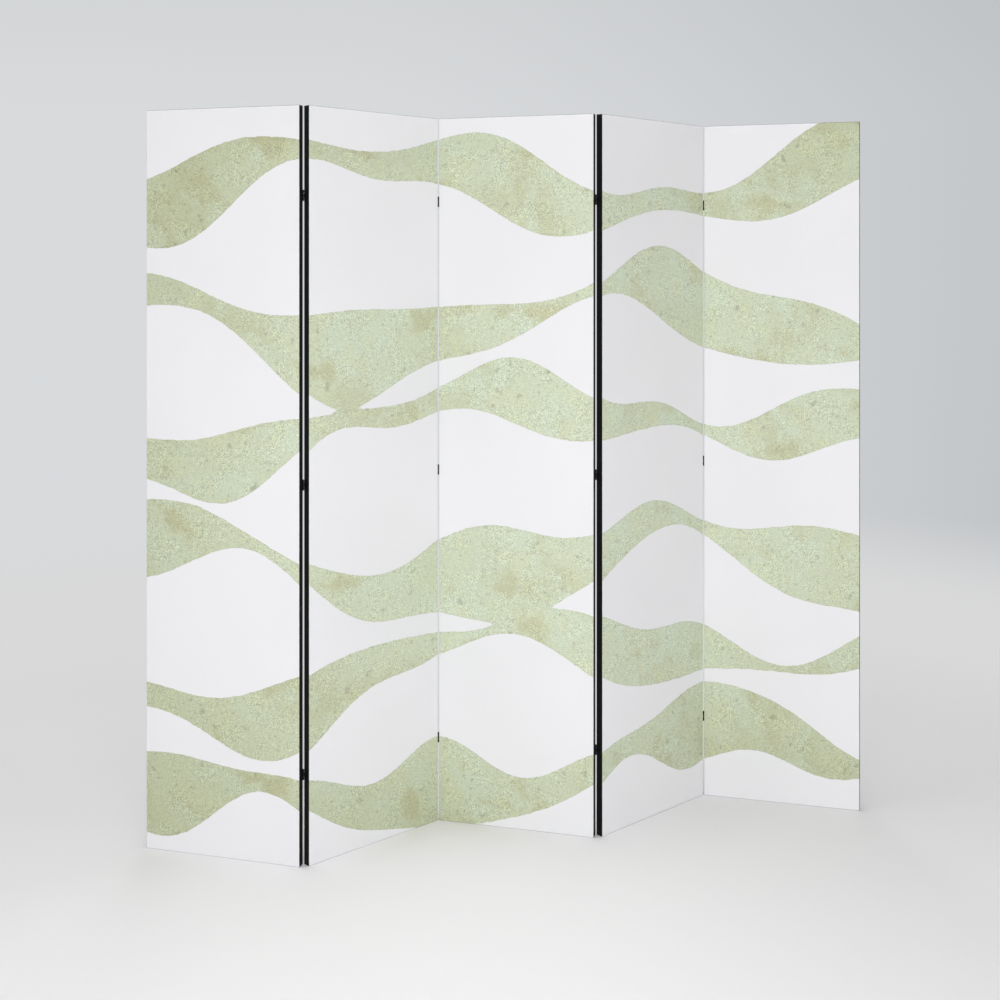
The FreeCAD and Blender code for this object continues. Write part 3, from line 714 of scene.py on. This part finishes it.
stage = {
    "floorRadius": 60.0,
    "floorRings": 24,
    "floorSpokes": 64,
    "innerRings": (0.001, 0.5),  # radii of the first two
    "floorRoughness": 0.9,
    # the floor as seen directly: a painted pool of light, and painted shade round it
    "floorPaintedLight": shade(0.965, 0.960, 0.972),
    "floorPaintedShade": shade(0.856, 0.851, 0.864),
    "paintedLightMiddle": (-0.55, -0.65, 0.0),  # the middle of a painted pool of light on the floor; painted shade takes over between these distances
    "paintedLightFrom": 0.1,
    "paintedLightTo": 1.5,
    "floorLit": shade(0.840, 0.835, 0.845),  # what light bounces off
    "leftWall": shade(0.688, 0.702, 0.718),
    "rightWallPaintedShade": shade(0.466, 0.485, 0.505),
    "wallFrom": 0.1,  # sideways part of a direction where the wall's painted shade starts, and where it is full
    "wallTo": 0.9,
    "highFrom": 0.10,  # upward part of a direction where the wall's painted shade starts, and where it is full
    "highTo": 0.22,
    "highPaintedShade": 0.06,
    "wallMiddle": (0.0, -1.75, 0.0),  # the wall's tones run out over the floor towards this place
    "floorFar": shade(0.694, 0.694, 0.698),
    "farFrom": 1.3,  # from the object's middle, the lit floor passes into its far tone
    "farTo": 2.5,
    "frontFrom": 0.9,  # in front it does so sooner, as the front lamp hangs low there
    "frontTo": 1.9,
    "wallNear": 2.8,  # and the far tone passes into the wall's
    "wallFar": 5.4,
    "worldLight": 0.25,
}


def seenDirectly(tree):
    # 1 for rays from the camera, in reflections and through glass, 0 for rays that only carry light
    path = addNode(tree, "LightPath")
    straight = calc(tree, "MAXIMUM", path.outputs["Is Camera Ray"], path.outputs["Is Glossy Ray"])
    return calc(tree, "MAXIMUM", straight, path.outputs["Is Transmission Ray"])


def wallColourWithPaintedShade(tree, direction):
    # pale on the left and darker to the right, by the sideways part of a direction, and darker high up:
    # painted shade across the backdrop
    parts = addNode(tree, "SeparateXYZ", {0: direction}).outputs
    share = remap(tree, parts[0], stage["wallFrom"], stage["wallTo"])
    low = mixColour(tree, share, stage["leftWall"], stage["rightWallPaintedShade"])
    height = remap(tree, parts[2], stage["highFrom"], stage["highTo"])
    return mixColour(tree, calc(tree, "MULTIPLY", height, stage["highPaintedShade"]), low, shade(0.0, 0.0, 0.0))


def makeFloor():
    # rings of points about the middle, wider apart further out
    middle, first = stage["innerRings"]
    radii = np.concatenate([[middle], np.geomspace(first, stage["floorRadius"], stage["floorRings"])])
    angles = np.linspace(0, 2 * math.pi, stage["floorSpokes"] + 1)[:-1]
    x, y = radii[:, None] * np.cos(angles), radii[:, None] * np.sin(angles)
    points = np.stack([x, y, 0 * x], axis=-1).reshape(-1, 3)
    material, tree, surface = newMaterial("floorPaint", stage["floorLit"], stage["floorRoughness"], 0.0)
    seen = seenDirectly(tree)
    place = addNode(tree, "TexCoord").outputs["Object"]
    # painted light and shade on the floor: pale near one place in front of the screen, darker further off
    fromPaintedLight = vectorCalc(tree, "DISTANCE", place, stage["paintedLightMiddle"], result="Value")
    paintedShadeShare = remap(tree, fromPaintedLight, stage["paintedLightFrom"], stage["paintedLightTo"])
    tone = mixColour(tree, paintedShadeShare, stage["floorPaintedLight"], stage["floorPaintedShade"])
    tree.links.new(mixColour(tree, seen, stage["floorLit"], tone), surface.inputs["Base Color"])

    away = vectorCalc(tree, "LENGTH", place, result="Value")
    forward = calc(tree, "MULTIPLY", addNode(tree, "SeparateXYZ", {0: place}).outputs[1], -1.0)
    inFront = remap(tree, forward, stage["frontFrom"], stage["frontTo"])
    outside = calc(tree, "MAXIMUM", remap(tree, away, stage["farFrom"], stage["farTo"]), inFront)
    faded = calc(tree, "MULTIPLY", outside, seen)
    direction = vectorCalc(tree, "NORMALIZE", vectorCalc(tree, "SUBTRACT", place, stage["wallMiddle"]))
    risen = remap(tree, away, stage["wallNear"], stage["wallFar"])
    # the far floor takes on the backdrop's colour with its painted shade
    far = mixColour(tree, risen, stage["floorFar"], wallColourWithPaintedShade(tree, direction))
    glow = addNode(tree, "Emission", {"Color": far})
    both = addNode(tree, "MixShader", {0: faded, 1: surface.outputs[0], 2: glow.outputs[0]})
    tree.links.new(both.outputs[0], tree.nodes["Material Output"].inputs["Surface"])
    floor = makeMesh("floor", points, gridFaces(len(radii), len(angles), closed=True), material)


def makeWorld():
    world = bpy.data.worlds.new("studio")
    bpy.context.scene.world = world
    world.use_nodes = True
    tree = world.node_tree
    light = tree.nodes["Background"]
    light.inputs["Color"].default_value = shade(1.0, 1.0, 1.0)
    light.inputs["Strength"].default_value = stage["worldLight"]
    direction = addNode(tree, "TexCoord").outputs["Generated"]
    # the backdrop seen directly carries the painted shade, darker to the right and high up
    seen = addNode(tree, "Background", {"Color": wallColourWithPaintedShade(tree, direction), "Strength": 1.0})
    both = addNode(tree, "MixShader", {0: seenDirectly(tree), 1: light.outputs[0], 2: seen.outputs[0]})
    tree.links.new(both.outputs[0], tree.nodes["World Output"].inputs["Surface"])


lamps = {  # place, size, power; each points at the middle of the screen
    "front": ((-0.7, -3.5, 1.0), 2.5, 81.0),
    "top": ((0.0, 0.0, 5.0), 4.0, 95.0),
    "left": ((-4.5, 0.0, 2.5), 3.0, 34.0),
    "right": ((4.5, 0.0, 2.5), 3.0, 22.0),
    "rear": ((0.6, 5.0, 1.2), 2.0, 88.0),
}


def makeLamp(name, place, size, power):
    lamp = bpy.data.lights.new(name, "AREA")
    lamp.size = size
    lamp.energy = power
    holder = bpy.data.objects.new(name, lamp)
    bpy.context.scene.collection.objects.link(holder)
    holder.location = place
    towards = Vector((0, 0, panels["height"] / 2)) - Vector(place)
    holder.rotation_euler = towards.to_track_quat("-Z", "Y").to_euler()


cameraView = {
    "place": (-0.870, -3.358, 1.367),
    "turn": -13.86,  # degrees; the camera is level, and its picture is shifted down
    "lens": 50.0,
    "sensor": 36.0,
    "shift": -0.220,
}


def makeCamera():
    camera = bpy.data.cameras.new("camera")
    camera.lens = cameraView["lens"]
    camera.sensor_width = cameraView["sensor"]
    camera.shift_y = cameraView["shift"]
    holder = bpy.data.objects.new("camera", camera)
    bpy.context.scene.collection.objects.link(holder)
    holder.location = cameraView["place"]
    holder.rotation_euler = (math.radians(90), 0, math.radians(cameraView["turn"]))
    bpy.context.scene.camera = holder


makeFloor()
makeWorld()
for name, values in lamps.items():
    makeLamp(name, *values)
makeCamera()
bpy.context.scene.view_settings.view_transform = "Standard"
print("stage, lamps and camera set")
